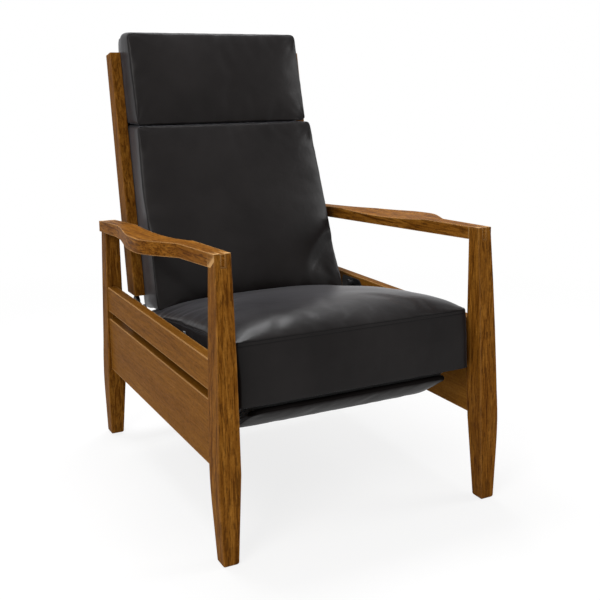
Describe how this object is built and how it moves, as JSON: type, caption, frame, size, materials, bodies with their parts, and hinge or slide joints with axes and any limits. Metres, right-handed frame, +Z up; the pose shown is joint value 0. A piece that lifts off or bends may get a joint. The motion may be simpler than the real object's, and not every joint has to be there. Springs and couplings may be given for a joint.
{
  "type": "recliner",
  "caption": "Push-back recliner with open oak side frames, shaped paddle arms, leather seat, raked back with head pillow, and a folding footrest",
  "frame": {"origin": "centre of the overall box on the floor", "axes": "+X to the sitter's left, +Y to the rear, +Z up; the seat faces -Y"},
  "size_m": [0.7506, 0.8772, 1.051],
  "materials": {
    "oak": "satin oiled oak with open grain",
    "plain_wood": "plain sawn hardwood",
    "leather": "smooth satin leather, nearly black",
    "webbing": "woven black webbing and cambric",
    "dark_steel": "black painted steel"
  },
  "bodies": {
    "frame": {"front_post_left": "oak", "front_post_right": "oak", "rear_post_left": "oak", "rear_post_right": "oak", "arm_left": "oak", "arm_right": "oak", "upper_rail_left": "oak", "upper_rail_right": "oak", "lower_rail_left": "oak", "lower_rail_right": "oak", "middle_cross_rail": "plain_wood", "rear_cross_rail": "plain_wood", "hanger_plate_left": "dark_steel", "hanger_plate_right": "dark_steel", "hanger_screws": "dark_steel", "hanger_studs": "dark_steel"},
    "front_swing_links": {"front_swing_link_left": "dark_steel", "front_swing_link_right": "dark_steel"},
    "rear_swing_links": {"rear_swing_link_left": "dark_steel", "rear_swing_link_right": "dark_steel"},
    "seat": {"seat_cushion": "leather", "seat_front_rail": "plain_wood", "seat_rear_rail": "plain_wood", "seat_side_rail_left": "plain_wood", "seat_side_rail_right": "plain_wood", "seat_webbing": "webbing", "seat_dust_cover": "webbing", "seat_side_plate_left": "dark_steel", "seat_side_plate_right": "dark_steel", "seat_plate_screws": "dark_steel", "seat_studs": "dark_steel"},
    "back": {"back_stile_left": "oak", "back_stile_right": "oak", "back_bottom_rail": "plain_wood", "back_middle_rail": "plain_wood", "back_top_rail": "plain_wood", "back_webbing": "webbing", "outer_back_panel": "leather", "back_cushion": "leather", "head_pillow": "leather", "back_hinge_plate_left": "dark_steel", "back_hinge_plate_right": "dark_steel", "back_hinge_pins": "dark_steel"},
    "main_cranks": {"main_crank_left": "dark_steel", "main_crank_right": "dark_steel", "main_crank_studs": "dark_steel", "crank_cross_tube": "dark_steel"},
    "control_cranks": {"control_crank_left": "dark_steel", "control_crank_right": "dark_steel", "control_crank_studs": "dark_steel"},
    "footrest_bars": {"footrest_bar_left": "dark_steel", "footrest_bar_right": "dark_steel"},
    "drive_bars": {"drive_bar_left": "dark_steel", "drive_bar_right": "dark_steel"},
    "footrest": {"footrest_board": "plain_wood", "footrest_pad": "leather", "footrest_bracket_left": "dark_steel", "footrest_bracket_right": "dark_steel", "footrest_screws": "dark_steel", "footrest_studs": "dark_steel"}
  },
  "joints": [
    {"name": "recline", "type": "hinge", "parent": "frame", "child": "front_swing_links", "pos_m": [0, -0.13233, 0.385], "axis": [-1, 0, 0], "range_deg": [0, 35]},
    {"name": "seat_level", "type": "hinge", "parent": "front_swing_links", "child": "seat", "pos_m": [0, -0.15304, 0.30773], "axis": [-1, 0, 0], "range_deg": [-35, 0]},
    {"name": "rear_swing", "type": "hinge", "parent": "frame", "child": "rear_swing_links", "pos_m": [0, 0.13767, 0.385], "axis": [-1, 0, 0], "range_deg": [0, 35]},
    {"name": "back_recline", "type": "hinge", "parent": "seat", "child": "back", "pos_m": [0, 0.28967, 0.368], "axis": [-1, 0, 0], "range_deg": [0, 26]},
    {"name": "footrest_crank", "type": "hinge", "parent": "seat", "child": "main_cranks", "pos_m": [0, -0.23433, 0.312], "axis": [-1, 0, 0], "range_deg": [0, 140]},
    {"name": "control_crank", "type": "hinge", "parent": "seat", "child": "control_cranks", "pos_m": [0, -0.19001, 0.30419], "axis": [-1, 0, 0], "range_deg": [0, 140]},
    {"name": "footrest_bar", "type": "hinge", "parent": "main_cranks", "child": "footrest_bars", "pos_m": [0, -0.10443, 0.237], "axis": [-1, 0, 0], "range_deg": [-140, 0]},
    {"name": "drive_bar", "type": "hinge", "parent": "main_cranks", "child": "drive_bars", "pos_m": [0, -0.06545, 0.2145], "axis": [-1, 0, 0], "range_deg": [-140, 0]},
    {"name": "footrest_tilt", "type": "hinge", "parent": "footrest_bars", "child": "footrest", "pos_m": [0, -0.31222, 0.27364], "axis": [-1, 0, 0], "range_deg": [0, 140]}
  ],
  "couplings": [
    {"joint": "seat_level", "follows": "recline", "ratio": -1},
    {"joint": "rear_swing", "follows": "recline", "ratio": 1},
    {"joint": "back_recline", "follows": "recline", "ratio": 0.74286},
    {"joint": "footrest_crank", "follows": "recline", "ratio": 4},
    {"joint": "control_crank", "follows": "recline", "ratio": 4},
    {"joint": "footrest_bar", "follows": "recline", "ratio": -4},
    {"joint": "drive_bar", "follows": "recline", "ratio": -4},
    {"joint": "footrest_tilt", "follows": "recline", "ratio": 4}
  ]
}
